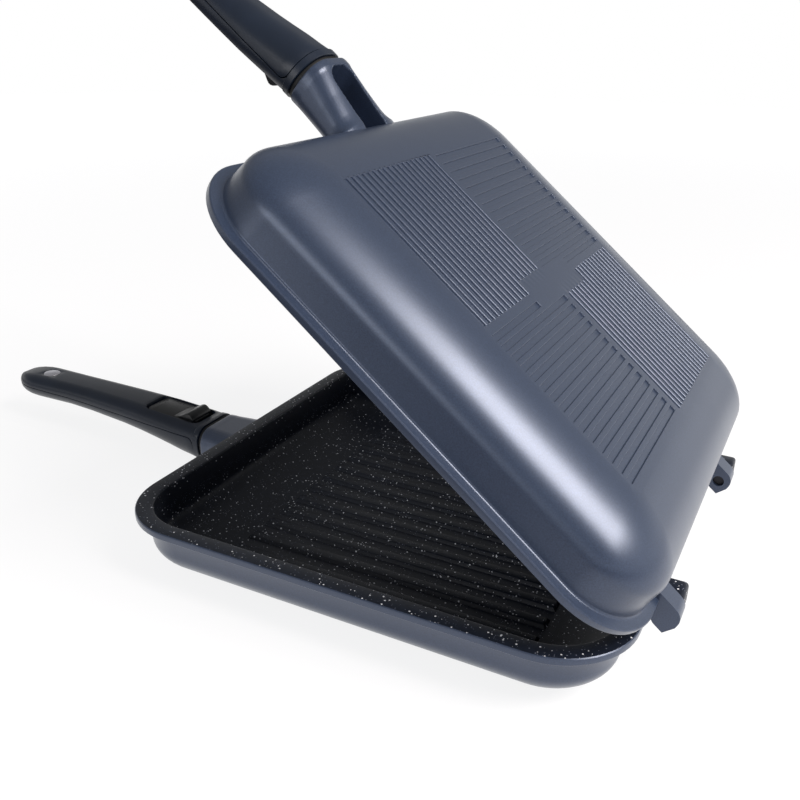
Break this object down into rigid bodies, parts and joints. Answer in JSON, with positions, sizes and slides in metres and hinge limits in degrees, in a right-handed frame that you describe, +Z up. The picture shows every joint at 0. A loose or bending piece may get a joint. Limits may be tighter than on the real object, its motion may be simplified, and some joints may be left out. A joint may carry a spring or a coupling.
{
  "type": "double sided flip pan",
  "caption": "Square two-halved frying pan that closes rim to rim on a lift-off hinge, with a ridged lower half and unclipping handles.",
  "frame": {"origin": "centre of the lower pan's base, on the surface it stands on", "axes": "+Z up; +X from the handles to the hinge, along the pan's length; +Y along the hinge axis"},
  "size_m": [0.4872, 0.27, 0.3539],
  "materials": {
    "pan": "satin slate blue stove enamel outside, speckled black non-stick coating inside",
    "handle": "satin charcoal phenolic",
    "slider": "fine grained black",
    "ring": "matte black",
    "seal": "matte black silicone",
    "magnet": "satin plated",
    "tongue": "blackened",
    "spring_steel": "bright drawn",
    "steel": "bright turned"
  },
  "bodies": {
    "lower_pan": {"bottom_pan": "pan"},
    "pins": {"hinge_pins": "steel"},
    "upper_pan": {"top_pan": "pan", "rim_seal": "seal"},
    "lower_handle": {"lower_handle_shell": "handle", "lower_handle_cover": "handle", "lower_gap_ring": "ring", "lower_tongue": "tongue", "lower_latch": "spring_steel", "lower_return_spring": "spring_steel", "lower_magnet": "magnet", "lower_screws": "steel"},
    "upper_handle": {"upper_handle_shell": "handle", "upper_handle_cover": "handle", "upper_gap_ring": "ring", "upper_tongue": "tongue", "upper_latch": "spring_steel", "upper_return_spring": "spring_steel", "upper_magnet": "magnet", "upper_screws": "steel"},
    "lower_thumb": {"lower_thumb_slider": "slider"},
    "upper_thumb": {"upper_thumb_slider": "slider"}
  },
  "joints": [
    {"name": "lid_hinge", "type": "hinge", "parent": "lower_pan", "child": "pins", "pos_m": [0.1424, 0, 0.0368], "axis": [0, 1, 0], "range_deg": [-39, 61]},
    {"name": "lid_slide_off", "type": "slide", "parent": "pins", "child": "upper_pan", "axis": [0, -1, 0], "range_m": [0, 0.03]},
    {"name": "lower_handle_off", "type": "slide", "parent": "lower_pan", "child": "lower_handle", "axis": [-1, 0, 0], "range_m": [0, 0.045]},
    {"name": "upper_handle_off", "type": "slide", "parent": "upper_pan", "child": "upper_handle", "axis": [-0.7771, 0, 0.6293], "range_m": [0, 0.045]},
    {"name": "lower_thumb_push", "type": "slide", "parent": "lower_handle", "child": "lower_thumb", "axis": [1, 0, 0], "range_m": [0, 0.004], "stiffness_N_per_m": 300, "springref_m": -0.002, "deforming": ["lower_return_spring", "lower_latch"]},
    {"name": "upper_thumb_push", "type": "slide", "parent": "upper_handle", "child": "upper_thumb", "axis": [0.7771, 0, -0.6293], "range_m": [0, 0.004], "stiffness_N_per_m": 300, "springref_m": -0.002, "deforming": ["upper_return_spring", "upper_latch"]}
  ]
}
